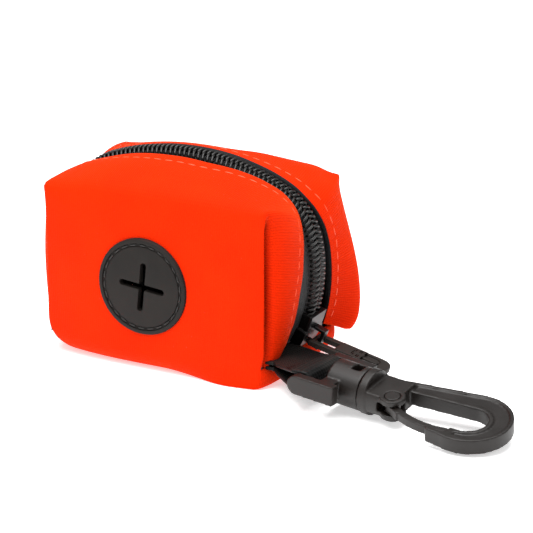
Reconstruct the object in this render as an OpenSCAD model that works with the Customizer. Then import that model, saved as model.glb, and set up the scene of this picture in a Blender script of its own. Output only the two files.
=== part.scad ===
// Neoprene pouch with a rubber outlet, a coil zip over its crown and a swivel hook on a webbing loop.
// Millimetres. X runs along the pouch, the outlet faces -Y, Z is up, and z = 0 is the surface it stands on.

/* [Pouch] */
// Length of the pouch between its upright corner seams
pouch_l = 74; // [66:1:90]
// Depth of the pouch between the front and back faces at the corners
pouch_w = 48; // [42:1:58]
// Height of the front and back faces
pouch_h = 54; // [50:1:66]
// How far the zip stands above the top edge of the faces
crown_rise = 7.7; // [6:0.1:9]
// How far the zip stands out past the upright corners at the right end
end_bulge = 5.7; // [4.5:0.1:7]
// How far the middle of the front and back faces swells out
face_bulge = 1.5; // [0.5:0.1:2.5]
// Thickness of the neoprene
wall = 2.5; // [2:0.1:3]
// Radius of the rounded bottom edges
base_r = 6; // [4:0.5:8]
// Height of the seam that closes each end
seam_z = 6.5; // [5:0.5:9]

/* [Zip line] */
// Radius of the long arc down each end wall
end_r = 45; // [42:1:50]
// Height of the centre of the end arcs
end_z = 30; // [28:1:33]
// Radius of the arc that turns each upper corner
corner_r = 20; // [16:1:23]
// Radius of the arc over the crown
crown_r = 74.4; // [68:0.2:84]
// How far the crown's peak stands left of the middle
crown_shift = 2.7; // [0:0.1:4]
// Gap between the two neoprene edges, where the zip shows
zip_gap = 13; // [12.4:0.2:15]
// Width of the closed chain of coil teeth
chain_w = 6.2; // [5.8:0.1:6.6]
// Thickness of one zip tape
tape_t = 0.6; // [0.5:0.1:0.8]
// Distance from the zip's middle to a tape's hidden edge
tape_reach = 12.5; // [11:0.5:13]
// Distance from the neoprene edge to its row of stitches
stitch_inset = 3.5; // [3:0.1:4.5]
// Spacing of the stitches
stitch_pitch = 3.8; // [3:0.1:5]
// Thickness of the sewing thread
thread_d = 0.5; // [0.4:0.05:0.7]

/* [Outlet] */
// Diameter of the rubber outlet disc
disc_d = 29.3; // [26:0.1:32]
// Thickness of the rubber disc
disc_t = 2.2; // [1.8:0.1:3]
// Place of the disc along the pouch
disc_x = -2; // [-6:0.5:6]
// Height of the disc's centre
disc_z = 26.5; // [24:0.5:32]
// Diameter of the hole in the neoprene behind the disc
outlet_d = 20; // [16:0.5:21]
// Length of each slit of the cross
slit_l = 15; // [12:0.5:17]
// Width of each slit
slit_w = 1.8; // [1.4:0.1:2.4]
// Turn of the cross from upright
slit_turn = 6; // [0:1:15]

/* [Slider and pull] */
// Length of the slider along the chain
slider_l = 10; // [9:0.5:11]
// Width of the slider at its mouth
slider_w = 11.2; // [10.6:0.1:11.8]
// Thickness of the slider's two plates
plate_t = 1.2; // [1:0.1:1.5]
// Length of the pull tab from its pivot
tab_l = 24.5; // [20:0.5:28]
// Width of the pull tab
tab_w = 7.6; // [7:0.1:8.6]
// Thickness of the pull tab
tab_t = 1.6; // [1.4:0.1:2]

/* [Webbing and hook] */
// Width of the webbing
web_w = 16; // [14:1:18]
// Thickness of the webbing
web_t = 1.3; // [1:0.1:1.5]
// Diameter of the bar that the webbing goes round
bar_d = 3.4; // [3:0.1:4]
// Diameter of the swivel barrel
barrel_d = 12.6; // [12:0.2:14]
// Diameter of the hook's stem in the barrel
stem_d = 6.8; // [6:0.1:7.4]
// Running clearance of the swivel and the gate pivot on the radius
run_gap = 0.08; // [0.04:0.01:0.1]
// Length of the hook from its collar to its tip
hook_l = 43.6; // [40:0.2:48]
// Width across the hook
hook_w = 23.8; // [22:0.2:26]
// Thickness of the hook's bow
hook_t = 4.4; // [4:0.1:5]
// Turn of the hook in its barrel as it lies
hook_roll = 10; // [0:1:20]

/* [Hidden] */
$fn = 96;

// Tangent arcs of the zip line: right end, right corner, crown, left corner, left end
crown_z = pouch_h + crown_rise - crown_r;
end_reach = pouch_l / 2 + end_bulge;
function meet(p, a, q, b, side) =
    let (d = norm(q - p), t = (a * a - b * b + d * d) / (2 * d), h = sqrt(a * a - t * t), u = (q - p) / d)
    p + t * u + side * h * [-u[1], u[0]];
function bearing(p, q) = atan2(q[1] - p[1], q[0] - p[0]);
c_right = [end_reach - end_r, end_z];
c_left = [-end_reach + end_r, end_z];
c_crown = [-crown_shift, crown_z];
c_turn_r = meet(c_right, end_r - corner_r, c_crown, crown_r - corner_r, 1);
c_turn_l = meet(c_left, end_r - corner_r, c_crown, crown_r - corner_r, -1);
a_seam = asin((seam_z + 0.7 - end_z) / end_r);
a_end = bearing(c_right, c_turn_r);
a_turn = bearing(c_crown, c_turn_r);
b_turn = bearing(c_crown, c_turn_l);
b_end = bearing(c_left, c_turn_l);
// One row an arc: centre, radius, start and end angle
ARCS = [[c_right, end_r, a_seam, a_end], [c_turn_r, corner_r, a_end, a_turn],
        [c_crown, crown_r, a_turn, b_turn], [c_turn_l, corner_r, b_turn, b_end],
        [c_left, end_r, b_end, 180 - a_seam]];
seam_r = c_right + end_r * [cos(a_seam), sin(a_seam)];
seam_l = c_left - end_r * [cos(a_seam), -sin(a_seam)];

// Radii of the bulged ends, the swollen faces and the roof, each from its rise over its chord
plan_rise = end_bulge + 0.5;
plan_r = (pow(pouch_w / 2, 2) + pow(plan_rise, 2)) / (2 * plan_rise);
face_r = (pow(pouch_l / 2, 2) + pow(face_bulge, 2)) / (2 * face_bulge);
roof_rise = crown_rise + 0.5;
roof_r = (pow(pouch_w / 2, 2) + pow(roof_rise, 2)) / (2 * roof_rise);
face_y = pouch_w / 2 + face_bulge;

// Zip chain and tapes
gap_half = zip_gap / 2;
tape_edge = 1.1;
stitch_y = gap_half + stitch_inset;
stitch_r = -0.9;
arc_step = 2.5;

// Slider, centred on this angle of the right end arc
a_slider = -22.4;
half_slider = slider_l / 2 / end_r * 180 / PI;
a_mouth = a_slider - half_slider;
a_rear = a_slider + half_slider;
plate_lift = 0.35;
plate_r = plate_lift + plate_t;
post_w = 1.7;
a_bail = a_mouth + 0.4;
bail_w = 2.6;
pivot_r = 3.3;
pivot_d = 1.6;
a_pivot = a_mouth + 2.7;
tab_dip = 13;
pivot = c_right + (end_r + pivot_r) * [cos(a_pivot), sin(a_pivot)];

// Webbing loop and hook, along an axis that leaves the right end and dips to the surface
hook_at = [71.8 - 74 / 2 + pouch_l / 2, -26.2, 7.2];
hook_yaw = -8;
hook_dip = 3.8;
bar_u = -18.5;
arm_half = web_w / 2 + 0.5;
arm_w = 3;
frame_t = 5.6;
slot_u = -12;
hook_dir = [cos(hook_yaw) * cos(hook_dip), sin(hook_yaw) * cos(hook_dip), -sin(hook_dip)];
across = [-sin(hook_yaw), cos(hook_yaw), 0];
bar_at = hook_at + bar_u * hook_dir;
web_y = -14;
layer_gap = 0.1;
loop_r = bar_d / 2 + 0.3 + web_t / 2;
web_z = seam_z + 0.75;
layer_z = web_t / 2 + layer_gap;

// Hook outline in its own plane: u along the axis, the nose on the -y side
tip_r = hook_w / 2;
tip_u = hook_l - tip_r;
gate_at = [8.7, -3.1];
boss_d = 4.4;
cheek_h = 6.4;

// ---- shared shapes ----

// Points along some arcs of the zip line, moved inwards by inset
function run(arcs, inset) =
    [for (a = arcs) let (n = ceil((a[3] - a[2]) / arc_step)) for (i = [0 : n])
     let (t = a[2] + (a[3] - a[2]) * i / n) a[0] + (a[1] - inset) * [cos(t), sin(t)]];
function reversed(list) = [for (i = [len(list) - 1 : -1 : 0]) list[i]];

// Turns an outline of length and height into a slab between two depths
module slab(y0, y1) {
    translate([0, y1, 0])
        rotate([90, 0, 0])
            linear_extrude(y1 - y0)
                children();
}

// Strip that follows the zip line, between two depths below it and two places across it
module strip(from, to, y0, y1, arcs = ARCS) {
    slab(y0, y1)
        polygon(concat(run(arcs, from), reversed(run(arcs, to))));
}

// Places a section on one stretch of an arc, x outwards from the zip line and y across it
module on_arc(a, a0, a1) {
    translate([a[0][0], 0, a[0][1]])
        rotate([90, 0, 0])
            rotate([0, 0, a0])
                rotate_extrude(angle = a1 - a0)
                    translate([a[1], 0])
                        children();
}
module on_end(a0, a1) {
    on_arc(ARCS[0], a0, a1)
        children();
}

// Side outline of the pouch: the zip line, closed by the low shelf under each end seam
module side_outline(inset) {
    shelf = pouch_l / 2 + plan_rise;
    shelf_r = seam_z / 2;
    union() {
        polygon(concat([[seam_l[0] + inset, inset], [seam_r[0] - inset, inset]], run(ARCS, inset)));
        translate([-(shelf - shelf_r), inset])
            square([2 * (shelf - shelf_r), seam_z - 2 * inset]);
        for (s = [-1, 1])
            translate([s * (shelf - shelf_r), shelf_r])
                circle(r = shelf_r - inset);
    }
}

// Plan of the pouch: bulged ends and swollen faces
module plan(inset) {
    intersection() {
        translate([pouch_l / 2 + plan_rise - plan_r, 0])
            circle(r = plan_r - inset);
        translate([-(pouch_l / 2 + plan_rise - plan_r), 0])
            circle(r = plan_r - inset);
        translate([0, face_r - face_y])
            circle(r = face_r - inset);
        translate([0, face_y - face_r])
            circle(r = face_r - inset);
    }
}

// Section of the pouch across its length: rounded lower corners, swollen faces, crowned roof
module cross_section(inset) {
    intersection() {
        union() {
            for (s = [-1, 1])
                translate([s * (face_y - base_r), base_r])
                    circle(r = base_r - inset);
            translate([-(face_y - base_r), inset])
                square([2 * (face_y - base_r), pouch_h]);
            translate([-(face_y - inset), base_r])
                square([2 * (face_y - inset), pouch_h]);
        }
        translate([0, pouch_h + roof_rise - roof_r])
            circle(r = roof_r - inset);
    }
}

// Whole outer form of the pouch, or its hollow when inset by the wall
module envelope(inset) {
    intersection() {
        translate([0, 0, -1])
            linear_extrude(pouch_h + 30)
                plan(inset);
        rotate([90, 0, 90])
            translate([0, 0, -pouch_l])
                linear_extrude(2 * pouch_l)
                    cross_section(inset);
        slab(-pouch_w, pouch_w)
            side_outline(inset);
    }
}

// Lies on the front face, centred on the outlet, with z out of the pouch
module on_outlet(lift = 0) {
    translate([disc_x, -face_y + 0.3 - lift, disc_z])
        rotate([90, 0, 0])
            children();
}

// Short lengths of thread in a row along the zip line at one distance from its middle
module stitch_row(y) {
    for (a = ARCS) {
        step = stitch_pitch / a[1] * 180 / PI;
        count = floor((a[3] - a[2]) / step);
        first = a == ARCS[0] ? 1 : 0;
        for (i = [first : count - 1])
            on_arc(a, a[2] + (i + 0.2) * step, a[2] + (i + 0.85) * step)
                translate([stitch_r, y])
                    circle(d = thread_d, $fn = 16);
    }
}

// Upright thread lengths that close an end seam through its inner flaps
flap_l = 6;
flap_t = 2 * wall;
module seam_flap(side) {
    x0 = side > 0 ? seam_r[0] - wall - flap_l : seam_l[0] + wall;
    translate([x0 - 0.5, -pouch_w / 2 + 6, seam_z - wall])
        cube([flap_l + 1, pouch_w - 12, flap_t + 0.7]);
}
module seam_thread(side, extra = 0) {
    x0 = side > 0 ? seam_r[0] - wall - flap_l / 2 : seam_l[0] + wall + flap_l / 2;
    count = floor((pouch_w - 16) / stitch_pitch);
    for (i = [0 : count])
        translate([x0, (i - count / 2) * stitch_pitch, seam_z - wall - extra])
            cylinder(d = thread_d + 2 * extra, h = flap_t + 0.7 + 2 * extra, $fn = 16);
}

// ---- pouch ----

module neoprene_shell() {
    color("#FA3A0C")
        difference() {
            union() {
                difference() {
                    envelope(0);
                    envelope(wall);
                }
                seam_flap(1);
                seam_flap(-1);
            }
            translate([-pouch_l, -gap_half, seam_z + 0.7])
                cube([2 * pouch_l, zip_gap, pouch_h + 30]);
            for (s = [-1, 1])
                strip(-1, -stitch_r + thread_d * 0.6, s * stitch_y - thread_d * 0.6, s * stitch_y + thread_d * 0.6);
            zip_tape(-1);
            zip_tape(1);
            on_outlet(-10)
                cylinder(d = outlet_d, h = 20);
            on_outlet()
                cylinder(d = disc_d, h = disc_t);
            webbing_slot();
            seam_thread(1);
            seam_thread(-1);
        }
}

// Cut for the webbing ends where the right seam catches them
module webbing_slot() {
    slot_half = web_t + layer_gap;
    translate([seam_r[0] - wall - flap_l / 2 - 2, web_y - web_w / 2, web_z - slot_half])
        cube([flap_l + 20, web_w, 2 * slot_half]);
    // dent in the flap where the lower layer leaves it
    translate([seam_r[0] + 1.5, web_y - web_w / 2 - 0.5, seam_z - 1.9])
        cube([20, web_w + 1, 3]);
}

module outlet_disc() {
    groove_r = disc_d / 2 * 0.87;
    color("#38332F")
        on_outlet()
            difference() {
                cylinder(d = disc_d, h = disc_t);
                rotate_extrude()
                    translate([groove_r - 0.6, disc_t - 0.5])
                        square([1.2, 1]);
                for (turn = [0, 90])
                    rotate([0, 0, -slit_turn + turn])
                        translate([0, 0, -1])
                            slit();
            }
}

module slit() {
    linear_extrude(disc_t + 2) {
        square([slit_l - slit_w, slit_w], center = true);
        for (s = [-1, 1])
            translate([s * (slit_l - slit_w) / 2, 0])
                circle(d = slit_w);
    }
}

module outlet_stitching() {
    groove_r = disc_d / 2 * 0.87;
    count = floor(2 * PI * groove_r / 3);
    color("#1C1A19")
        on_outlet()
            for (i = [0 : count - 1])
                rotate([0, 0, i * 360 / count])
                    translate([0, 0, disc_t - 0.5 + thread_d / 2])
                        rotate_extrude(angle = 360 / count * 0.7)
                            translate([groove_r, 0])
                                circle(d = thread_d, $fn = 16);
}

// ---- zip ----

module zip_tape(side) {
    color("#1A1A1B")
        mirror([0, side > 0 ? 0 : 1, 0])
            strip(wall, wall + tape_t, tape_edge, tape_reach);
}
module zip_tape_front() zip_tape(-1);
module zip_tape_back() zip_tape(1);

// Closed coil row, with a parted tail that passes the slider's post
module zip_coil(side) {
    row_y = chain_w / 2;
    a_part = a_slider - 0.6;
    closed = [for (i = [0 : 4]) i == 0 ? [c_right, end_r, a_part, a_end]
                              : i == 4 ? [c_left, end_r, b_end, 180 - a_seam - 5] : ARCS[i]];
    tail = [[c_right, end_r, a_mouth + 0.2, a_part]];
    color("#242425")
        mirror([0, side > 0 ? 0 : 1, 0]) {
            strip(0.1, wall, 0.5, row_y - 0.5, closed);
            strip(0.8, wall, 0.1, row_y, closed);
            strip(0.8, wall, 1.15, row_y + 0.9, tail);
        }
}
module zip_coil_front() zip_coil(-1);
module zip_coil_back() zip_coil(1);

module topstitching_front() {
    color("#F2451C")
        stitch_row(stitch_y);
}
module topstitching_back() {
    color("#F2451C")
        stitch_row(-stitch_y);
}

// A stop on each tape below the slider's mouth
module zip_top_stops() {
    color("#2B2B2C")
        for (s = [-1, 1])
            on_end(a_seam + 0.3, a_mouth - 0.3)
                translate([-wall, s * 2.6 - 1.2])
                    square([1.8, 2.4]);
}

// One stop across both rows at the far end of the chain
module zip_bottom_stop() {
    color("#2B2B2C")
        strip(0.4, wall, -chain_w / 2, chain_w / 2, [[c_left, end_r, 180 - a_seam - 4.8, 180 - a_seam - 2]]);
}

module end_seam_thread_right() {
    color("#1C1A19")
        intersection() {
            seam_thread(1);
            seam_solid();
        }
}
module end_seam_thread_left() {
    color("#1C1A19")
        seam_thread(-1);
}
// Room for seam thread outside the webbing ends
module seam_solid() {
    difference() {
        cube([400, 400, 400], center = true);
        webbing_slot();
    }
}

// ---- slider and pull ----

module slider_body() {
    rear_w = slider_w - 1.6;
    floor_r = -wall - tape_t - 0.2;
    color("#161617") {
        // plate over the coils, wide at the mouth
        on_end(a_mouth, a_rear)
            translate([plate_lift, -rear_w / 2])
                square([plate_t, rear_w]);
        on_end(a_mouth, a_slider)
            translate([plate_lift, -slider_w / 2])
                square([plate_t, slider_w]);
        // plate under the tapes
        on_end(a_mouth, a_rear)
            translate([floor_r - plate_t, -rear_w / 2])
                square([plate_t, rear_w]);
        // post between the tapes
        on_end(a_mouth + 0.4, a_mouth + half_slider * 0.8)
            translate([floor_r - 0.4, -post_w / 2])
                square([plate_lift - floor_r + 0.8, post_w]);
        // side walls that guide the rows
        for (s = [-1, 1]) {
            on_end(a_mouth, a_slider)
                translate([-wall + 0.2, s * (slider_w / 2 - 0.5) - 0.5])
                    square([wall + plate_lift, 1]);
            on_end(a_slider - 0.5, a_rear)
                translate([-wall + 0.2, s * (chain_w / 2 + 0.9) - 0.6])
                    square([wall + plate_lift, 1.2]);
        }
    }
}

module slider_bail() {
    a_top = a_bail + 7.6;
    leg_a = 1.1;
    color("#1B1B1C") {
        on_end(a_bail, a_top)
            translate([pivot_r + pivot_d / 2 + 0.35, -bail_w / 2])
                square([1.1, bail_w]);
        for (a = [a_bail, a_top - leg_a])
            on_end(a, a + leg_a)
                translate([plate_r, -bail_w / 2])
                    square([pivot_r + pivot_d / 2 + 1.45 - plate_r, bail_w]);
    }
}

module pull_tab() {
    eye_l = 7.2;
    eye_w = bail_w + 1;
    color("#4A4543")
        translate([pivot[0], 0, pivot[1]])
            rotate([0, tab_dip, 0])
                difference() {
                    union() {
                        rotate([90, 0, 0])
                            cylinder(d = pivot_d, h = tab_w, center = true);
                        translate([0, -tab_w / 2, -tab_t / 2])
                            cube([tab_l - tab_w / 2, tab_w, tab_t]);
                        translate([tab_l - tab_w / 2, 0, -tab_t / 2])
                            cylinder(d = tab_w, h = tab_t);
                        translate([eye_l + 0.6, -tab_w / 2 + 0.8, tab_t / 2])
                            cube([tab_l * 0.33, tab_w - 1.6, 0.5]);
                    }
                    translate([pivot_d / 2, -eye_w / 2, -tab_t])
                        cube([eye_l - pivot_d / 2, eye_w, 2 * tab_t]);
                    // thumb recess with a grip bar left standing
                    difference() {
                        translate([tab_l - tab_w / 2 - 4.2, 0, tab_t / 2 - 0.6])
                            linear_extrude(1) {
                                square([4.4, tab_w - 2.4], center = true);
                                for (s = [-1, 1])
                                    translate([s * 2.2, 0])
                                        circle(d = tab_w - 2.4);
                            }
                        translate([tab_l - tab_w / 2 - 8, -0.6, 0])
                            cube([8, 1.2, tab_t]);
                    }
                }
}

// ---- webbing and hook ----

// Loop path: from the seam over the bar and back under it
function web_side(x, z, f) = [seam_r[0] + x, web_y + f * (bar_at[1] - web_y), z];
web_path = concat(
    [web_side(-wall - flap_l / 2, web_z + layer_z, 0), web_side(2.5, web_z + layer_z, 0)],
    [web_side(5, web_z + 1.4, 0.22), bar_at + [-3.2, 0.2, loop_r - 0.1]],
    [for (a = [90 : -15 : -90]) bar_at + loop_r * [cos(a), 0, sin(a)]],
    [bar_at + [-3.2, 0.2, -loop_r + 0.1], web_side(5, web_z - 0.9, 0.22)],
    [web_side(2.5, web_z - layer_z, 0), web_side(-wall - flap_l / 2, web_z - layer_z, 0)]);

module webbing_loop() {
    n = len(web_path);
    function way(i) = web_path[min(i + 1, n - 1)] - web_path[max(i - 1, 0)];
    function out(i) = let (w = way(i), m = norm([w[0], w[2]])) [w[2], 0, -w[0]] / m * web_t / 2;
    function wide(i) = i < 2 || i > n - 3 ? [0, web_w / 2, 0] : across * web_w / 2;
    points = [for (i = [0 : n - 1], k = [[-1, -1], [1, -1], [1, 1], [-1, 1]])
              web_path[i] + k[0] * wide(i) + k[1] * out(i)];
    sides = [for (i = [0 : n - 2], k = [0 : 3])
             let (a = 4 * i + k, b = 4 * i + (k + 1) % 4) [a, b, b + 4, a + 4]];
    color("#232222")
        polyhedron(points, concat([[3, 2, 1, 0]], sides, [[4 * n - 4, 4 * n - 3, 4 * n - 2, 4 * n - 1]]));
}

// Lays its children along the hook axis, turned by the swivel when asked
module on_hook(roll = 0) {
    translate(hook_at)
        rotate([roll, hook_dip, hook_yaw])
            children();
}

module bored_barrel() {
    barrel_l = -slot_u - 1.5;
    translate([slot_u, 0, 0])
        rotate([0, 90, 0])
            cylinder(d = barrel_d, h = barrel_l);
    for (s = [-1, 1])
        translate([slot_u, s * (arm_half + arm_w / 2) - arm_w / 2, -frame_t / 2])
            cube([6, arm_w, frame_t]);
    translate([slot_u, -arm_half - arm_w / 2, -frame_t / 2])
        cube([4.5, 2 * arm_half + arm_w, frame_t]);
}

module strap_frame() {
    head_u = -9;
    color("#413A36")
        on_hook()
            difference() {
                union() {
                    bored_barrel();
                    for (s = [-1, 1]) {
                        translate([bar_u, s * (arm_half + arm_w / 2) - arm_w / 2, -frame_t / 2])
                            cube([slot_u - bar_u, arm_w, frame_t]);
                        translate([bar_u, s * (arm_half + arm_w / 2) + arm_w / 2, 0])
                            rotate([90, 0, 0])
                                cylinder(d = frame_t, h = arm_w);
                    }
                    translate([bar_u, arm_half + 0.1, 0])
                        rotate([90, 0, 0])
                            cylinder(d = bar_d, h = 2 * arm_half + 0.2);
                }
                // bore for the stem and pocket for its snap head
                translate([head_u - 1.3, 0, 0])
                    rotate([0, 90, 0])
                        cylinder(r = stem_d / 2 + 1.1 + run_gap + 0.1, h = 3.6);
                translate([head_u, 0, 0])
                    rotate([0, 90, 0])
                        cylinder(r = stem_d / 2 + run_gap, h = 20);
                // window over the snap tongue
                translate([-6.2, -2, 0])
                    cube([3, 4, barrel_d]);
            }
}

module swivel_hook() {
    head_u = -9;
    color("#413A36")
        on_hook(hook_roll) {
            difference() {
                union() {
                    translate([head_u - 1, 0, 0])
                        rotate([0, 90, 0])
                            cylinder(r = stem_d / 2 + 1.1, h = 3);
                    translate([head_u - 1, 0, 0])
                        rotate([0, 90, 0])
                            cylinder(d = stem_d, h = 10);
                    translate([-1.2, 0, 0])
                        rotate([0, 90, 0])
                            cylinder(d = barrel_d + 0.6, h = 2.6);
                    hook_head();
                    translate([0, 0, -hook_t / 2])
                        linear_extrude(hook_t)
                            hook_outline();
                }
                // gate slot and its pivot hole
                translate([gate_at[0] - 3.4, -12, -1.5])
                    cube([8, 12, 3]);
                translate([gate_at[0], gate_at[1], -10])
                    cylinder(d = boss_d + 2 * run_gap, h = 20);
                // sunk faces that leave a rim round the opening
                for (s = [0, 1])
                    mirror([0, 0, s])
                        translate([0, 0, hook_t / 2 - 0.5])
                            linear_extrude(2)
                                sunk_face();
            }
        }
}

// Solid head between the collar and the bow
module hook_head() {
    intersection() {
        translate([1, 0, 0])
            rotate([0, 90, 0])
                cylinder(d = barrel_d, h = 10);
        translate([0, -7, -cheek_h / 2])
            cube([11, 14, cheek_h]);
        translate([1, 0, -5])
            linear_extrude(10)
                polygon([[-1, -6.6], [6.5, -6.6], [9.8, -4], [9.8, 6.6], [-1, 6.6]]);
    }
    // round cheeks that carry the gate's pivot
    translate([gate_at[0], gate_at[1], -cheek_h / 2])
        cylinder(r = boss_d / 2 + 1.5, h = cheek_h);
}

// Bow of the hook: spine, round tip and nose
module hook_outline() {
    difference() {
        union() {
            translate([tip_u, 0])
                circle(r = tip_r);
            polygon([[2, 6.2], [5.8, 6.9], [tip_u - 1, tip_r], [tip_u, 0], [9, 0], [2, 0]]);
            polygon([[tip_u, -tip_r], [tip_u - 7.6, -tip_r + 0.9], [tip_u - 8.6, -tip_r + 2.1], [tip_u, -4]]);
        }
        hook_opening();
    }
}

// Opening of the hook with the notch that takes the gate's tip
module hook_opening() {
    wall_u = tip_u - 2;
    translate([tip_u - 0.2, -1.2])
        circle(r = 5.8);
    polygon([[9.8, 2.4], [tip_u, 4.6], [tip_u, -7], [wall_u, -7], [wall_u - 0.8, -9.8], [9.8, -9.8], [9.8, 0]]);
    translate([9.8, -12])
        square([tip_u - 18.8, 10]);
}

// Outer part of the bow's face, sunk below the rim
module sunk_face() {
    difference() {
        intersection() {
            translate([11, -tip_r + 2.3])
                square([hook_l, hook_w]);
            union() {
                translate([tip_u, 0])
                    circle(r = tip_r - 1.1);
                polygon([[11, 0], [11, 6.6], [tip_u - 1, tip_r - 1.2], [tip_u, 0]]);
            }
        }
        translate([tip_u - 0.2, -1.2])
            circle(r = 7.1);
        polygon([[9.8, 3.8], [tip_u, 6], [tip_u, -9.8], [tip_u - 4, -12], [9, -12]]);
    }
}

module hook_gate() {
    color("#413A36")
        on_hook(hook_roll) {
            translate([gate_at[0], gate_at[1], -cheek_h / 2])
                cylinder(d = boss_d, h = cheek_h);
            translate([0, 0, -1.3])
                linear_extrude(2.6)
                    gate_outline();
        }
}

// Slim lever that bows out from its pivot to the notch under the nose
module gate_outline() {
    bow_r = 26;
    bow_at = [23, 16.7];
    intersection() {
        difference() {
            translate(bow_at)
                circle(r = bow_r);
            translate(bow_at)
                circle(r = bow_r - 2);
        }
        translate([gate_at[0] - 1, -12])
            square([tip_u - 3 - gate_at[0] + 1, 9]);
    }
    translate(gate_at)
        circle(d = boss_d);
    polygon([[gate_at[0] - 1.8, gate_at[1]], [gate_at[0] - 1, -5.2], [gate_at[0] + 4, -7.6], [gate_at[0] + 2, -2.6]]);
}

neoprene_shell();
outlet_disc();
outlet_stitching();
zip_tape_front();
zip_tape_back();
zip_coil_front();
zip_coil_back();
topstitching_front();
topstitching_back();
zip_top_stops();
zip_bottom_stop();
end_seam_thread_right();
end_seam_thread_left();
slider_body();
slider_bail();
pull_tab();
webbing_loop();
strap_frame();
swivel_hook();
hook_gate();
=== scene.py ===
# %% [markdown]
# # A neoprene pouch with a zip over its crown and a swivel hook
# The pouch is sewn like a wash bag: one sheet of foam-backed jersey is closed by a zip, and each end is
# folded in and stitched down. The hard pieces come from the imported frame, and this file gives the soft
# pieces their real form and every surface its finish.

# %% Load the frame
import math

import bmesh
import bpy
import numpy as np
from mathutils import Matrix, Vector
from mathutils.bvhtree import BVHTree
from mathutils.kdtree import KDTree


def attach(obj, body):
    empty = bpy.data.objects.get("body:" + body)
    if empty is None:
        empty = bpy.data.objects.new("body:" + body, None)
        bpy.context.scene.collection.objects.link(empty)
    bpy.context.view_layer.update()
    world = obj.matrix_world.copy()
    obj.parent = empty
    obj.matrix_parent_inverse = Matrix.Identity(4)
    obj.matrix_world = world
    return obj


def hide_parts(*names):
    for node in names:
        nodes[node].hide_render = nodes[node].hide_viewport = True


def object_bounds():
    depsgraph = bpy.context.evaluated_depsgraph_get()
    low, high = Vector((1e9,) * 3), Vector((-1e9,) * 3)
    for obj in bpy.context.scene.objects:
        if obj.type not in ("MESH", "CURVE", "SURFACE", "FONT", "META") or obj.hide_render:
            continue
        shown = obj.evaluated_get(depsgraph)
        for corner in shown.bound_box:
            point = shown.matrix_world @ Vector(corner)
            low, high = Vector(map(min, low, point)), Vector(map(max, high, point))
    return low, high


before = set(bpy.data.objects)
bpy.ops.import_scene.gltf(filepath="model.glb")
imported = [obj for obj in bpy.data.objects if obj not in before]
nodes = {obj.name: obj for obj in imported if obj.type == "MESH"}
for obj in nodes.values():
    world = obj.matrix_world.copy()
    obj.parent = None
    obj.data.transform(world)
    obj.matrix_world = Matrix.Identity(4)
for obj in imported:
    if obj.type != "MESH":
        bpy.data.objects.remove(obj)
cad_low, cad_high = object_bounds()

# %% [markdown]
# Colours are written as a maker reads them off a swatch, in sRGB hex, and the shader works in linear light.
# One function adds any node, with its settings and its links, so each finish below reads as a short list.

# %% Colour and node helpers
def linear(swatch):
    parts = [int(swatch[i:i + 2], 16) / 255 for i in (1, 3, 5)]
    return tuple(c / 12.92 if c <= 0.04045 else ((c + 0.055) / 1.055) ** 2.4 for c in parts) + (1.0,)


def add(tree, kind, inputs=None, **settings):
    node = tree.nodes.new(kind)
    for name, value in settings.items():
        setattr(node, name, value)
    for name, value in (inputs or {}).items():
        socket = node.inputs[name]
        if isinstance(value, bpy.types.NodeSocket):
            tree.links.new(value, socket)
        else:
            socket.default_value = value
    return node


def new_finish(name, swatch, roughness, **sockets):
    finish = bpy.data.materials.new(name)
    finish.use_nodes = True
    shader = finish.node_tree.nodes["Principled BSDF"]
    shader.inputs["Base Color"].default_value = linear(swatch)
    shader.inputs["Roughness"].default_value = roughness
    for socket, value in sockets.items():
        shader.inputs[socket.replace("_", " ")].default_value = value
    return finish, finish.node_tree, shader


# %% [markdown]
# Neoprene here is foam with a knitted jersey face. The jersey has fine ribs about 0.7 mm apart, which
# show most on the end strips, and a soft fuzz that lightens the colour at grazing angles, so it gets a
# little sheen. The cloth's own map is in millimetres, and a second value says how strongly the ribs show.

# %% Jersey-faced neoprene
RIB = 0.72
STITCH_PITCH = 3.8
STITCH_INSET = 3.5
jersey, tree, shader = new_finish("neoprene_jersey", "#D52302", 0.6)
shader.inputs["Specular IOR Level"].default_value = 0.02
shader.inputs["Sheen Weight"].default_value = 0.3
shader.inputs["Sheen Roughness"].default_value = 0.5
shader.inputs["Sheen Tint"].default_value = linear("#FF7A3C")
cloth_map = add(tree, "ShaderNodeUVMap", uv_map="cloth_mm")
split = add(tree, "ShaderNodeSeparateXYZ", {0: cloth_map.outputs[0]})
rib_share = add(tree, "ShaderNodeAttribute", attribute_name="rib_share")
turns = add(tree, "ShaderNodeMath", {0: split.outputs["X"], 1: 2 * math.pi / RIB}, operation="MULTIPLY")
rib_wave = add(tree, "ShaderNodeMath", {0: turns.outputs[0]}, operation="SINE")
wale_turns = add(tree, "ShaderNodeMath", {0: split.outputs["Y"], 1: 2 * math.pi / 0.6}, operation="MULTIPLY")
wale_wave = add(tree, "ShaderNodeMath", {0: wale_turns.outputs[0]}, operation="SINE")
place = add(tree, "ShaderNodeTexCoord")
grain = add(tree, "ShaderNodeTexNoise", {"Vector": place.outputs["Object"], "Scale": 1500, "Detail": 2})
blotch = add(tree, "ShaderNodeTexNoise", {"Vector": place.outputs["Object"], "Scale": 70, "Detail": 3})
rib_height = add(tree, "ShaderNodeMath", {0: rib_wave.outputs[0], 1: rib_share.outputs["Fac"]},
                 operation="MULTIPLY")
knit = add(tree, "ShaderNodeMath", {0: wale_wave.outputs[0], 1: 0.25, 2: rib_height.outputs[0]},
           operation="MULTIPLY_ADD")
fuzz = add(tree, "ShaderNodeMath", {0: grain.outputs["Fac"], 1: 1.6, 2: knit.outputs[0]},
           operation="MULTIPLY_ADD")
bump = add(tree, "ShaderNodeBump", {"Height": fuzz.outputs[0], "Strength": 0.35, "Distance": 0.00012})
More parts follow.
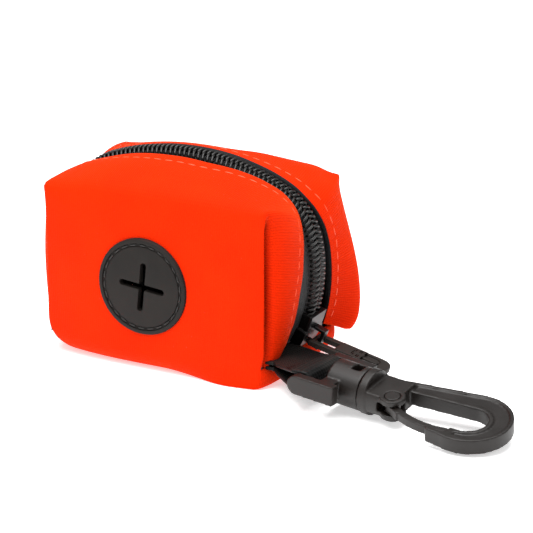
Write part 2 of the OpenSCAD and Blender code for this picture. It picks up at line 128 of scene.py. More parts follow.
shade = add(tree, "ShaderNodeMapRange", {0: fuzz.outputs[0], 1: -1.0, 2: 2.2, 3: 0.0, 4: 1.0})
dyed = add(tree, "ShaderNodeMix", {0: shade.outputs[0], 6: linear("#C61C00"), 7: linear("#DC2602")},
           data_type="RGBA")
cloud = add(tree, "ShaderNodeMapRange", {0: blotch.outputs["Fac"], 1: 0.3, 2: 0.7, 3: 0.0, 4: 0.35})
worn = add(tree, "ShaderNodeMix", {0: cloud.outputs[0], 6: dyed.outputs[2], 7: linear("#E02C02")},
           data_type="RGBA")
# Painted shade: a deep red is mixed into the colour at the bottom of the fold creases, where light doesn't reach.
shade_mask = add(tree, "ShaderNodeAttribute", attribute_name="painted_crease_shade")
painted_crease = add(tree, "ShaderNodeMix", {0: shade_mask.outputs["Fac"], 6: worn.outputs[2], 7: linear("#5A0E02")},
              data_type="RGBA")
tree.links.new(painted_crease.outputs[2], shader.inputs["Base Color"])
tree.links.new(bump.outputs[0], shader.inputs["Normal"])

# %% [markdown]
# Where the sheet is cut, the black foam under the jersey shows. It's full of tiny closed cells.

# %% Foam core at the cut edges
foam, tree, shader = new_finish("black_foam_core", "#141416", 0.9)
place = add(tree, "ShaderNodeTexCoord")
cells = add(tree, "ShaderNodeTexVoronoi", {"Vector": place.outputs["Object"], "Scale": 2500})
bump = add(tree, "ShaderNodeBump", {"Height": cells.outputs["Distance"], "Strength": 0.5, "Distance": 0.0002})
tree.links.new(bump.outputs[0], shader.inputs["Normal"])


# %% [markdown]
# The zip follows five tangent arcs in the middle plane: up one end, round the corner, over the crown and
# down again. A place on the zip is the length along it, how far across, and how far out.

# %% The zip line
MM = 0.001
POUCH_L, POUCH_W, POUCH_H = 74.0, 48.0, 54.0
CROWN_Z = 61.7
SEAM_Z = 6.5
END_R, CORNER_R, CROWN_R = 45.0, 20.0, 74.4
C_RIGHT = np.array([POUCH_L / 2 + 5.7 - END_R, 30.0])
C_LEFT = -C_RIGHT * [1, -1]
C_CROWN = np.array([-2.7, CROWN_Z - CROWN_R])


def corner_centre(p, a, q, b, side):
    way = (q - p) / np.linalg.norm(q - p)
    far = np.linalg.norm(q - p)
    along = (a * a - b * b + far * far) / (2 * far)
    return p + along * way + side * math.sqrt(a * a - along * along) * np.array([-way[1], way[0]])


def bearing(p, q):
    return math.atan2(q[1] - p[1], q[0] - p[0])


C_TURN_R = corner_centre(C_RIGHT, END_R - CORNER_R, C_CROWN, CROWN_R - CORNER_R, 1)
C_TURN_L = corner_centre(C_LEFT, END_R - CORNER_R, C_CROWN, CROWN_R - CORNER_R, -1)
A_SEAM = math.asin((SEAM_Z + 0.7 - 30) / END_R)
ARCS = [(C_RIGHT, END_R, A_SEAM, bearing(C_RIGHT, C_TURN_R)),
        (C_TURN_R, CORNER_R, bearing(C_RIGHT, C_TURN_R), bearing(C_CROWN, C_TURN_R)),
        (C_CROWN, CROWN_R, bearing(C_CROWN, C_TURN_R), bearing(C_CROWN, C_TURN_L)),
        (C_TURN_L, CORNER_R, bearing(C_CROWN, C_TURN_L), bearing(C_LEFT, C_TURN_L)),
        (C_LEFT, END_R, bearing(C_LEFT, C_TURN_L), math.pi - A_SEAM)]
STARTS = np.concatenate([[0], np.cumsum([r * (b - a) for c, r, a, b in ARCS])])
ZIP_L = STARTS[-1]


def zip_spot(s):
    """Place, outward direction and forward direction at length s along the zip, as x and z."""
    k = min(max(int(np.searchsorted(STARTS, s, side="right")) - 1, 0), 4)
    c, r, a, b = ARCS[k]
    t = a + (s - STARTS[k]) / r
    out = np.array([math.cos(t), math.sin(t)])
    return c + r * out, out, np.array([-out[1], out[0]])


def on_zip(s, y, rise):
    spot, out, _ = zip_spot(s)
    p = spot + rise * out
    return Vector((p[0], y, p[1]))


print("zip length", round(ZIP_L, 1), "mm")


# %% [markdown]
# Most pieces start from a flat grid that is bent into place, so one helper makes such a grid in a bmesh and
# gives its corners a map in millimetres. Another turns a finished bmesh into an object on its body.

# %% Grid and object helpers
def bent_grid(bm, across, along, shape, flat=None, rib=0.0, painted_shade=None):
    uv = bm.loops.layers.uv.get("cloth_mm") or bm.loops.layers.uv.new("cloth_mm")
    share = bm.verts.layers.float.get("rib_share") or bm.verts.layers.float.new("rib_share")
    # One layer holds how much painted shade each point gets in the fold creases.
    shade_mask = bm.verts.layers.float.get("painted_crease_shade") or bm.verts.layers.float.new("painted_crease_shade")
    made = bmesh.ops.create_grid(bm, x_segments=across, y_segments=along, size=1)["verts"]
    spot = {v: ((v.co.x + 1) / 2, (v.co.y + 1) / 2) for v in made}
    for v, (a, b) in spot.items():
        v.co = Vector(shape(a, b))
        v[share] = rib
        v[shade_mask] = painted_shade(a, b) if painted_shade else 0.0
    for face in {f for v in made for f in v.link_faces}:
        face.smooth = True
        for loop in face.loops:
            loop[uv].uv = flat(*spot[loop.vert]) if flat else spot[loop.vert]
    return made


def finish_piece(name, bm, finishes, body, stands_for=()):
    bmesh.ops.recalc_face_normals(bm, faces=bm.faces)
    bmesh.ops.scale(bm, vec=(MM,) * 3, verts=bm.verts)
    mesh = bpy.data.meshes.new(name)
    bm.to_mesh(mesh)
    bm.free()
    for finish in finishes:
        mesh.materials.append(finish)
    piece = bpy.data.objects.new(name, mesh)
    bpy.context.scene.collection.objects.link(piece)
    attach(piece, body)
    if stands_for:
        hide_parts(*stands_for)
    print(name, len(mesh.polygons), "faces")
    return piece


# %% [markdown]
# The body is one skin of several grids that share their edges. On each side a strip runs beside the zip, up
# one end, over the crown and down the other. Its outer edge is the upright fold at each end and the top edge
# of the face. The face panel hangs from that edge, turns under and meets its twin in the middle of the floor.
# A flap closes each end under the seam. At the folds the strip dips behind the face panel. No light reaches the
# bottom of that crease on the real pouch; the shallow dip of this skin doesn't shade it enough, so painted shade
# darkens the colour there.

# %% The folded skin
# Length along the zip against distance to the cut edge, and against how proud the edge stands
FRONT_CUT = ((0, 15), (5, 12), (15, 12), (20, 11.5), (30, 9), (35, 7.5), (40, 5.8), (45, 4.2), (52, 3.5),
             (59, 3.5), (66, 4.7), (75, 6.5), (87, 7.5), (98, 6.8), (115, 5.5), (130, 5), (145, 8), (160, 11), (183, 13))
BACK_CUT = ((0, 16), (5, 13.5), (10, 12), (15, 10.5), (20, 9.5), (30, 8.8), (35, 7), (40, 5.2), (46, 4.1),
            (52, 4.2), (60, 5.2), (80, 5.5), (105, 6), (130, 5), (145, 8), (160, 11), (183, 13))
CUT_RISE = ((0, -1), (30, -0.9), (42, 0.2), (52, 0.6), (60, 0.2), (75, -0.3), (110, -0.5), (130, 0.2),
            (150, -0.9), (183, -1))
END_STEPS, CROWN_STEPS = 32, 50
ACROSS = [0, .05, .1, .15, .19, .24, .3, .37, .45, .53, .61, .69, .76, .82, .865, .9, .925, .95, .975, 1]
BASE_STEPS, FLOOR_STEPS = 7, 9
CREASE_AT = 1.2
MID_TURN_R = (STARTS[1] + STARTS[2]) / 2
MID_TURN_L = (STARTS[3] + STARTS[4]) / 2


def end_reach(z):
    """How far the end folds stand from the middle: they round in towards the floor."""
    return 37.0 - 8.0 * max(0.0, 1 - z / 11.5) ** 2.3


def ease(x):
    x = min(max(x, 0.0), 1.0)
    return x * x * (3 - 2 * x)


def face_swell(x, z):
    return 2.6 * (1 - abs(x / 37) ** 3) * (1 - abs((z - 22) / 33) ** 2.4)


def station(k):
    """Length along the zip and the outer edge point of station k of the strip."""
    if k <= END_STEPS:
        share = k / END_STEPS
        z = SEAM_Z + (POUCH_H - SEAM_Z) * share
        return MID_TURN_R * share, np.array([end_reach(z), -24.0, z])
    if k <= END_STEPS + CROWN_STEPS:
        share = (k - END_STEPS) / CROWN_STEPS
        x = 37 - 74 * share
        return MID_TURN_R + (MID_TURN_L - MID_TURN_R) * share, np.array([x, -24.0 - face_swell(x, 54), 54.0])
    share = (k - END_STEPS - CROWN_STEPS) / END_STEPS
    z = POUCH_H - (POUCH_H - SEAM_Z) * share
    return MID_TURN_L + (ZIP_L - MID_TURN_L) * share, np.array([-end_reach(z), -24.0, z])


def end_puff(z):
    """How far the slack end strip swells at a height: most just above the floor, nothing at the corner."""
    return ease((56 - z) / 44) * (0.35 + 0.65 * ease((z + 1) / 15))


def cut_edge(s, back):
    """The cut edge beside the zip: close and proud round the upper corners, low and wide on the end walls."""
    spot, out, _ = zip_spot(s)
    away = np.interp(s, *zip(*(BACK_CUT if back else FRONT_CUT)))
    away += 0.18 * math.sin(s / 5.3) + 0.12 * math.sin(s / 2.9 + 1)
    rise = np.interp(s, *zip(*CUT_RISE))
    return np.array([spot[0] + rise * out[0], -away, spot[1] + rise * out[1]])


def strip_shape(a, b, slack=False):
    k = round(b * (2 * END_STEPS + CROWN_STEPS))
    t = ACROSS[round(a * (len(ACROSS) - 1))]
    s, outer = station(k)
    _, out, forward = zip_spot(s)
    inner = cut_edge(s, slack)
    chord = outer - inner
    behind_fold = (1 - t) * np.linalg.norm(chord)
    normal = np.cross(np.array([forward[0], 0, forward[1]]), chord)
    normal /= np.linalg.norm(normal)
    if normal[0] * out[0] + normal[2] * out[1] < 0:
        normal = -normal
    on_end = abs(outer[0]) > 36.2 and outer[2] < 53.9
    fall = ease((53.5 - outer[2]) / 7) * ease((outer[2] - 5.5) / 3)
    bulge = (1.9 if on_end else 1.3) * 4 * t * (1 - t)
    sharp, broad = (math.exp(-((behind_fold - CREASE_AT) / width) ** 2) for width in (0.8, 2.6))
    crease = -fall * (2.4 * sharp + 0.9 * broad)
    crease *= 0 if t > 0.999 else 1
    if slack and on_end:
        bulge += 6.8 * end_puff(outer[2]) * math.sin(math.pi * t ** 1.8)
        crease *= 0.25
    return inner + t * chord + (bulge + crease) * normal


def strip_painted_shade(a, b):
    """How much painted shade a spot gets: how deep in the fold's crease it lies."""
    s, outer = station(round(b * (2 * END_STEPS + CROWN_STEPS)))
    behind_fold = (1 - ACROSS[round(a * (len(ACROSS) - 1))]) * np.linalg.norm(outer - cut_edge(s, False))
    return ease((52.5 - outer[2]) / 3) * math.exp(-((behind_fold - 1.0) / 0.7) ** 2)


def strip_flat(a, b):
    s, outer = station(round(b * (2 * END_STEPS + CROWN_STEPS)))
    return (s, ACROSS[round(a * (len(ACROSS) - 1))] * 18.5)


def base_spot(share, x):
    """Depth, height and end reach round the lower edge. The slack right end sags, the left end is drawn in."""
    turn = share * math.pi / 2
    z = SEAM_Z * (1 - math.sin(turn))
    draw_in = 6.5 - 7.0 * ease((x - 2) / 26)
    sag = 7.5 * share * ease(x / 20)
    return 24 - draw_in * (1 - math.cos(turn)), z, end_reach(z) + sag * min(1, 2.2 - 1.6 * share)


FACE_ROWS = END_STEPS + BASE_STEPS + FLOOR_STEPS


def face_shape(a, b):
    row = round(b * FACE_ROWS)
    x_share = 1 - 2 * round(a * CROWN_STEPS) / CROWN_STEPS
    if row <= END_STEPS:
        z = POUCH_H - (POUCH_H - SEAM_Z) * row / END_STEPS
        edge = end_reach(z)
        x = edge * x_share
        return (x, -24 - face_swell(x * 37 / edge, z), z)
    if row <= END_STEPS + BASE_STEPS:
        y, z, edge = base_spot((row - END_STEPS) / BASE_STEPS, 37 * x_share)
        swell = face_swell(37 * x_share, SEAM_Z)
        return (edge * x_share, -y - swell, z)
    y, z, edge = base_spot(1, 37 * x_share)
    rest = 1 - (row - END_STEPS - BASE_STEPS) / FLOOR_STEPS
    return (edge * x_share, -(y + face_swell(37 * x_share, SEAM_Z)) * rest, z)


def face_flat(a, b):
    x, y, z = face_shape(a, b)
    return (x, 60 - z - y * 0.5)


def flap_shape(side):
    def shape(a, b):
        y, z, edge = base_spot(round(b * BASE_STEPS) / BASE_STEPS, side * 37)
        place_y = 2 * a - 1
        puff = 3.4 * math.sin(math.pi * b ** 0.8) * math.sqrt(max(1 - place_y ** 2, 0))
        pull = 0.0 if b > 0.01 else 0.25 * math.sin(9 * place_y)
        return (side * (edge + puff - pull * (1 - place_y ** 2)), place_y * y, z)
    return shape


bm = bmesh.new()
for slack in (False, True):
    half = bent_grid(bm, len(ACROSS) - 1, 2 * END_STEPS + CROWN_STEPS,
                     lambda a, b: strip_shape(a, b, slack), strip_flat, rib=1.0, painted_shade=strip_painted_shade)
    half += bent_grid(bm, CROWN_STEPS, FACE_ROWS, face_shape, face_flat, rib=0.3)
    if slack:
        bmesh.ops.scale(bm, vec=(1, -1, 1), verts=half)
for side in (1, -1):
    bent_grid(bm, 2 * FLOOR_STEPS, BASE_STEPS, flap_shape(side), lambda a, b: (a * 48, b * 12), rib=0.8)
bmesh.ops.remove_doubles(bm, verts=bm.verts, dist=0.05)
bmesh.ops.recalc_face_normals(bm, faces=bm.faces)
loose = [e for e in bm.edges if e.is_boundary]
print("skin:", len(bm.faces), "faces,", len(loose), "edges on its rim")

# %% [markdown]
# The top edge of each face isn't folded: the foam rounds over softly in the middle and only draws to a point
# at the two pinched corners. Smoothing with a weight that fades towards the corners gives that.

# %% Round the top edges and pinch the corners
for turn in range(40):
    soft = []
    for v in bm.verts:
        x, y, z = v.co
        near_corner = ease((37.4 - abs(x)) / 13)
        reach = 9.5 * near_corner + 0.5
        if z > 30 and abs(abs(y) - 24) < 12 and abs(z - 54) + max(0, 24 - abs(y)) * 0.6 < reach:
            soft.append(v)
    bmesh.ops.smooth_vert(bm, verts=soft, factor=0.5, use_axis_x=False, use_axis_y=True, use_axis_z=True)
for v in bm.verts:
    x, y, z = v.co
    if z > 44:
        near_top = ease((z - 45) / 8)
        v.co.z += (1.3 - 1.9 * ease((x - 29) / 8)) * ease((x - 2) / 14) * ease((y - 10) / 8) * near_top
        v.co.z -= 1.3 * ease((-x - 22) / 12) * ease((-y - 8) / 10) * near_top
print("rounded", len(soft), "points of the top edges")

# %% [markdown]
# The front face is open behind the rubber outlet. Then the bmesh becomes an object.

# %% Open the outlet and make the mesh
DISC_X, DISC_Z, DISC_R = -2.0, 26.5, 14.65
behind = [f for f in bm.faces if f.calc_center_median().y < -20
          and math.hypot(f.calc_center_median().x - DISC_X, f.calc_center_median().z - DISC_Z) < 9.6]
bmesh.ops.delete(bm, geom=behind, context="FACES")
bmesh.ops.recalc_face_normals(bm, faces=bm.faces)
outward = sum(f.normal.dot(f.calc_center_median() - Vector((0, 0, 30))) for f in bm.faces)
if outward < 0:
    bmesh.ops.reverse_faces(bm, faces=bm.faces)
bmesh.ops.scale(bm, vec=(MM,) * 3, verts=bm.verts)
skin_mesh = bpy.data.meshes.new("neoprene_body")
bm.to_mesh(skin_mesh)
bm.free()
skin = bpy.data.objects.new("neoprene_body", skin_mesh)
bpy.context.scene.collection.objects.link(skin)

# %% [markdown]
# Foam doesn't lie in exact curves. A short cloth simulation settles the grid between its seams. The zip edges,
# folds, seams, floor and the ring under the outlet are held and the rest is pressed out lightly, which moves it by
# a few tenths of a millimetre at most. The shape's main swell is already in the grids.

# %% Swell the foam between its seams
def swell(piece, held, pressure, cap):
    start = np.array([v.co for v in piece.data.vertices])
    group = piece.vertex_groups.new(name="held")
    for i, weight in enumerate(held):
        group.add([i], float(weight), "REPLACE")
    cloth = piece.modifiers.new("swell", "CLOTH")
    set_up = cloth.settings
    set_up.mass = 0.05
    set_up.quality = 6
    set_up.tension_stiffness = set_up.compression_stiffness = 30
    set_up.bending_stiffness = 4
    set_up.vertex_group_mass = "held"
    set_up.pin_stiffness = 1
    set_up.use_pressure = True
    set_up.uniform_pressure_force = pressure
    set_up.effector_weights.gravity = 0
    cloth.collision_settings.use_collision = False
    cloth.point_cache.frame_start, cloth.point_cache.frame_end = 1, 20
    for number in range(1, 21):
        bpy.context.scene.frame_set(number)
    view = bpy.context.evaluated_depsgraph_get()
    moved = np.array([v.co for v in piece.evaluated_get(view).data.vertices])
    step = moved - start
    far = np.linalg.norm(step, axis=1, keepdims=True)
    step *= np.minimum(1, cap / np.maximum(far, 1e-9))
    piece.modifiers.remove(cloth)
    piece.vertex_groups.clear()
    bpy.context.scene.frame_set(1)
    for v, p in zip(piece.data.vertices, start + step):
        v.co = p
    print("swell: furthest", round(float(far.max()) / MM, 2), "mm, mean", round(float(far.mean()) / MM, 3), "mm")


def holds(p):
    x, y, z = (c * 1000 for c in p)
    fold = min(abs(abs(x) - 37) + max(0, 23.0 - abs(y)), 3) / 3
    disc = 0 if y > 0 else ease((19 - math.hypot(x - DISC_X, z - DISC_Z)) / 4)
    spot_hold = ease((10.5 - abs(y)) / 3) if (z > 8) else 0
    return max(1 - fold, disc, spot_hold, ease((9 - z) / 3))


swell(skin, [holds(v.co) for v in skin_mesh.vertices], 8.0, 0.0011)

# %% [markdown]
# The skin is the outside of a sheet a little over two millimetres thick. The cut edges and the inside show its
# foam. It's pressed thin at the folds, so that the two walls of a crease don't run through each other.

# %% Thickness, softness and finish of the skin
skin_mesh.materials.append(jersey)
skin_mesh.materials.append(foam)
soften = skin.modifiers.new("soften", "SUBSURF")
soften.levels = soften.render_levels = 1
wall = skin.modifiers.new("wall", "SOLIDIFY")
wall.thickness = 0.0022
wall.offset = -1
full = skin.vertex_groups.new(name="full_foam")
for v in skin_mesh.vertices:
    x, y, z = v.co / MM
    from_fold = math.hypot(abs(x) - end_reach(z), max(22.5 - abs(y), 0))
    full.add([v.index], ease((from_fold - 2) / 4), "REPLACE")
wall.vertex_group, wall.thickness_vertex_group = "full_foam", 0.12
wall.material_offset = wall.material_offset_rim = 1
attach(skin, "pouch")
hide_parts("neoprene_shell")

# %% [markdown]
# The disc is a rubber moulding sewn on through a groove near its rim. A profile spun round its axis gives the
# raised rim, the groove and the slightly sunk middle in one closed form. The cross is cut through it.

# %% Rubber outlet disc
rubber, tree, shader = new_finish("moulded_rubber", "#1F1C1A", 0.62)
shader.inputs["Specular IOR Level"].default_value = 0.22
place = add(tree, "ShaderNodeTexCoord")
skin_grain = add(tree, "ShaderNodeTexNoise", {"Vector": place.outputs["Object"], "Scale": 2200, "Detail": 3})
dust = add(tree, "ShaderNodeTexNoise", {"Vector": place.outputs["Object"], "Scale": 130, "Detail": 4})
bump = add(tree, "ShaderNodeBump", {"Height": skin_grain.outputs["Fac"], "Strength": 0.25, "Distance": 0.0001})
tone = add(tree, "ShaderNodeMapRange", {0: dust.outputs["Fac"], 1: 0.3, 2: 0.75, 3: 0.0, 4: 1.0})
mixed = add(tree, "ShaderNodeMix", {0: tone.outputs[0], 6: linear("#14110F"), 7: linear("#1E1A17")},
            data_type="RGBA")
gloss = add(tree, "ShaderNodeMapRange", {0: dust.outputs["Fac"], 3: 0.52, 4: 0.72})
tree.links.new(mixed.outputs[2], shader.inputs["Base Color"])
tree.links.new(gloss.outputs[0], shader.inputs["Roughness"])
tree.links.new(bump.outputs[0], shader.inputs["Normal"])

DISC_Y = -25.2
ON_DISC = Matrix.Translation((DISC_X, DISC_Y, DISC_Z)) @ Matrix.Rotation(math.pi / 2, 4, "X")
profile = [(0.001, 0), (DISC_R, 0), (DISC_R, 1.45), (DISC_R - 0.2, 1.95), (DISC_R - 0.7, 2.2), (13.35, 2.15),
           (13.2, 1.6), (12.4, 1.55), (12.2, 1.9), (11.9, 2.0), (0.001, 2.0)]
bm = bmesh.new()
ring = [bm.verts.new((r, 0, h)) for r, h in profile]
edges = [bm.edges.new(pair) for pair in zip(ring, ring[1:])]
bmesh.ops.spin(bm, geom=ring + edges, cent=(0, 0, 0), axis=(0, 0, 1), angle=2 * math.pi, steps=128,
               use_merge=True)
bmesh.ops.remove_doubles(bm, verts=bm.verts, dist=0.01)
bmesh.ops.transform(bm, matrix=ON_DISC, verts=bm.verts)
disc = finish_piece("outlet_disc_moulding", bm, [rubber], "pouch", ["outlet_disc"])


def cutter(name, bm):
    bmesh.ops.recalc_face_normals(bm, faces=bm.faces)
    bmesh.ops.scale(bm, vec=(MM,) * 3, verts=bm.verts)
    mesh = bpy.data.meshes.new(name)
    bm.to_mesh(mesh)
    bm.free()
    tool = bpy.data.objects.new(name, mesh)
    bpy.context.scene.collection.objects.link(tool)
    return tool


def cut(piece, *tools):
    """Cuts tools out of a piece and applies it, so that no tool is left in the scene."""
    for tool in tools:
        modifier = piece.modifiers.new("cut", "BOOLEAN")
        modifier.operation, modifier.solver, modifier.object = "DIFFERENCE", "EXACT", tool
    view = bpy.context.evaluated_depsgraph_get()
    mesh = bpy.data.meshes.new_from_object(piece.evaluated_get(view))
    piece.modifiers.clear()
    piece.data = mesh
    for tool in tools:
        bpy.data.objects.remove(tool)


def slot_cutter(turn, length, width):
    """A tool with round ends: a disc pulled apart along its middle and drawn up through the rubber."""
    bm = bmesh.new()
    bmesh.ops.create_circle(bm, cap_ends=True, segments=40, radius=width / 2)
    for v in bm.verts:
        v.co.x += math.copysign((length - width) / 2, v.co.x)
    raised = bmesh.ops.extrude_face_region(bm, geom=bm.faces[:])["geom"]
    bmesh.ops.translate(bm, vec=(0, 0, 6), verts=[g for g in raised if isinstance(g, bmesh.types.BMVert)])
    put = ON_DISC @ Matrix.Translation((0, 0, -2)) @ Matrix.Rotation(math.radians(turn), 4, "Z")
    bmesh.ops.transform(bm, matrix=put, verts=bm.verts)
    return cutter("slit_tool", bm)


cut(disc, slot_cutter(-6, 15, 1.9), slot_cutter(84, 15, 1.9))
for face in disc.data.polygons:
    face.use_smooth = True
disc.data.set_sharp_from_angle(angle=math.radians(35))

# %% [markdown]
# Sewing shows as separate stitches, each a short bead of thread whose ends dive into the cloth. One low bead
# is laid end to end along any line, and each row is one piece.

# %% Thread and rows of stitches
def spun_thread(name, swatch, high):
    finish, tree, shader = new_finish(name, swatch, 0.6)
    place = add(tree, "ShaderNodeTexCoord")
    twist = add(tree, "ShaderNodeTexNoise", {"Vector": place.outputs["Object"], "Scale": 4000, "Detail": 1})
    tone = add(tree, "ShaderNodeMix", {0: twist.outputs["Fac"], 6: linear(swatch), 7: linear(high)},
               data_type="RGBA")
    bump = add(tree, "ShaderNodeBump", {"Height": twist.outputs["Fac"], "Strength": 0.6, "Distance": 0.0001})
    tree.links.new(tone.outputs[2], shader.inputs["Base Color"])
    tree.links.new(bump.outputs[0], shader.inputs["Normal"])
    return finish


orange_thread = spun_thread("polyester_thread_orange", "#E83008", "#FA5A28")
black_thread = spun_thread("polyester_thread_black", "#0F0E0E", "#2A2725")


def lay_bead(bm, start, end, out, thickness, arch=0.3):
    """A bead of thread from start to end that bows outwards in the middle."""
    way = end - start
    length = way.length
    side = way.cross(out).normalized()
    up = side.cross(way).normalized()
    made = bmesh.ops.create_uvsphere(bm, u_segments=6, v_segments=6, radius=1)["verts"]
    for v in made:
        u = v.co.z
        thick = thickness / 2 * math.sqrt(max(0, 1 - u * u)) ** 0.4
        flat = math.hypot(v.co.x, v.co.y) or 1
        round_x, round_y = v.co.x / flat, v.co.y / flat
        if abs(u) > 0.999:
            thick = 0
        v.co = (start + end) / 2 + way.normalized() * (u * length / 2) + side * (round_x * thick) \
            + up * (round_y * thick + thickness * arch * (1 - u * u))
    for face in {f for v in made for f in v.link_faces}:
        face.smooth = True


bm = bmesh.new()
STITCHES = 26
for number in range(STITCHES):
    a = 2 * math.pi * number / STITCHES
    b = a + 2 * math.pi / STITCHES * 0.72
    lay_bead(bm, Vector((12.8 * math.cos(a), 12.8 * math.sin(a), 1.68)),
             Vector((12.8 * math.cos(b), 12.8 * math.sin(b), 1.68)), Vector((0, 0, 1)), 0.5)
bmesh.ops.transform(bm, matrix=ON_DISC, verts=bm.verts)
finish_piece("outlet_stitches", bm, [black_thread], "pouch", ["outlet_stitching"])


# %% [markdown]
# A row of orange stitches runs beside each cut edge. The nearest point of the softened skin is found for the
# ends of every stitch, so the row follows each swell of the foam.

# %% Topstitching beside the zip
def skin_spots():
    """The finished outer skin as a search tree in millimetres."""
    wall.show_viewport = False
    view = bpy.context.evaluated_depsgraph_get()
    mesh = skin.evaluated_get(view).data
    tree = BVHTree.FromPolygons([v.co * 1000 for v in mesh.vertices], [p.vertices[:] for p in mesh.polygons])
    wall.show_viewport = True
    return tree


skin_tree = skin_spots()


def on_skin(s, side, inset):
    """The point on the skin at length s and a distance from the cut edge, and the way out there."""
    outer = station(0)[1]
    for k in range(2 * END_STEPS + CROWN_STEPS):
        s0, p0 = station(k)
        s1, p1 = station(k + 1)
        if s0 <= s <= s1:
            outer = p0 + (p1 - p0) * ((s - s0) / (s1 - s0))
            break
    inner = cut_edge(s, side < 0)
    chord = outer - inner
    p = inner + chord / np.linalg.norm(chord) * inset
    p[1] *= side
    found, normal, _, _ = skin_tree.find_nearest(Vector(p))
    centre = Vector((0, 0, 25))
    return found, (normal if normal.dot(found - centre) > 0 else -normal)


def topstitch(name, side, node):
    bm = bmesh.new()
    count = int((ZIP_L - 8) / STITCH_PITCH)
    for number in range(count):
        s = 4 + number * STITCH_PITCH
        start, out = on_skin(s + 0.35, side, STITCH_INSET)
        end, _ = on_skin(s + STITCH_PITCH - 0.45, side, STITCH_INSET)
        lay_bead(bm, start - out * 0.22, end - out * 0.22, out, 0.55, 0.25)
    return finish_piece(name, bm, [orange_thread], "pouch", [node])


topstitch("topstitch_front", 1, "topstitching_front")
topstitch("topstitch_back", -1, "topstitching_back")

# %% [markdown]
# Zip tape is a close-woven polyester tape with a slight gloss. It lies under the cut edges, so each tape is a
# thin bent sheet. Its weave is far finer than the jersey, so it is drawn from the tape's own map.

# %% Zip tapes
tape_cloth, tree, shader = new_finish("polyester_zip_tape", "#0C0C0D", 0.42)
tape_map = add(tree, "ShaderNodeUVMap", uv_map="cloth_mm")
split = add(tree, "ShaderNodeSeparateXYZ", {0: tape_map.outputs[0]})
warp = add(tree, "ShaderNodeMath", {0: split.outputs["Y"], 1: 2 * math.pi / 0.55}, operation="MULTIPLY")
weft = add(tree, "ShaderNodeMath", {0: split.outputs["X"], 1: 2 * math.pi / 0.5}, operation="MULTIPLY")
warp_wave = add(tree, "ShaderNodeMath", {0: warp.outputs[0]}, operation="SINE")
weft_wave = add(tree, "ShaderNodeMath", {0: weft.outputs[0]}, operation="SINE")
woven = add(tree, "ShaderNodeMath", {0: warp_wave.outputs[0], 1: weft_wave.outputs[0]}, operation="MULTIPLY")
bump = add(tree, "ShaderNodeBump", {"Height": woven.outputs[0], "Strength": 0.6, "Distance": 0.00015})
tone = add(tree, "ShaderNodeMapRange", {0: woven.outputs[0], 1: -1.0, 2: 1.0, 3: 0.0, 4: 1.0})
mixed = add(tree, "ShaderNodeMix", {0: tone.outputs[0], 6: linear("#070708"), 7: linear("#1B1B1D")},
            data_type="RGBA")
tree.links.new(mixed.outputs[2], shader.inputs["Base Color"])
tree.links.new(bump.outputs[0], shader.inputs["Normal"])

TAPE_RISE, TAPE_W = -2.1, 14.0


def tape_shape(side):
    def shape(a, b):
        y = 0.1 + a * TAPE_W
        sewn_in = 0.25 * math.exp(-((y - 3.9) / 0.35) ** 2)
        rise = TAPE_RISE - 0.9 * ease((y - 5) / 5) - 0.2 * max(y - 8, 0) - sewn_in
        return on_zip(0.2 + b * (ZIP_L - 0.4), side * y, rise)
    return shape


for side, word in ((-1, "front"), (1, "back")):
    bm = bmesh.new()
    bent_grid(bm, 28, 140, tape_shape(side), lambda a, b: (b * ZIP_L, a * TAPE_W))
    tape = finish_piece(f"tape_{word}", bm, [tape_cloth], "pouch", [f"zip_tape_{word}"])
    thick = tape.modifiers.new("thickness", "SOLIDIFY")
    thick.thickness, thick.offset = 0.5 * MM, 0

# %% [markdown]
# Each tooth of a coil zip is one turn of nylon monofilament pressed into a hook: a leg rises from the sewing
# line, leans forward and turns down in the middle, between two turns of the other row. A short six-sided tube
# gives each turn, and the two rows sit half a step apart.

# %% Coil teeth
nylon, tree, shader = new_finish("nylon_monofilament", "#12100E", 0.34)
place = add(tree, "ShaderNodeTexCoord")
scuff = add(tree, "ShaderNodeTexNoise", {"Vector": place.outputs["Object"], "Scale": 900, "Detail": 3})
gloss = add(tree, "ShaderNodeMapRange", {0: scuff.outputs["Fac"], 1: 0.3, 2: 0.7, 3: 0.24, 4: 0.42})
tree.links.new(gloss.outputs[0], shader.inputs["Roughness"])

TOOTH_PITCH = 1.58
COIL_FROM, COIL_TO = 9.4, ZIP_L - 4.5
TOOTH_LINE = [(3.25, -1.75, -0.35), (2.95, -0.75, -0.15), (2.2, 0.0, 0.15), (1.3, 0.05, 0.5),
              (0.45, -0.2, 0.75), (0.05, -0.9, 0.8)]


def tube(bm, points, thickness, sides=6):
    """A round tube through some points, closed at both ends."""
    rings = []
    for i, p in enumerate(points):
        way = (points[min(i + 1, len(points) - 1)] - points[max(i - 1, 0)]).normalized()
        turn = way.to_track_quat("Z", "X").to_matrix().to_4x4()
        place_ring = Matrix.Translation(p) @ turn
        made = bmesh.ops.create_circle(bm, segments=sides, radius=thickness / 2, matrix=place_ring,
                                       cap_ends=i in (0, len(points) - 1))
        rings.append(made["verts"])
    for low, high in zip(rings, rings[1:]):
        low_edges = {e for v in low for e in v.link_edges if e.other_vert(v) in low}
        high_edges = {e for v in high for e in v.link_edges if e.other_vert(v) in high}
        bmesh.ops.bridge_loops(bm, edges=list(low_edges | high_edges))


tooth = bmesh.new()
tube(tooth, [Vector((s, y, r)) for y, r, s in TOOTH_LINE], 0.86)
tooth_mesh = bpy.data.meshes.new("tooth")
bmesh.ops.recalc_face_normals(tooth, faces=tooth.faces)
tooth.to_mesh(tooth_mesh)
tooth.free()


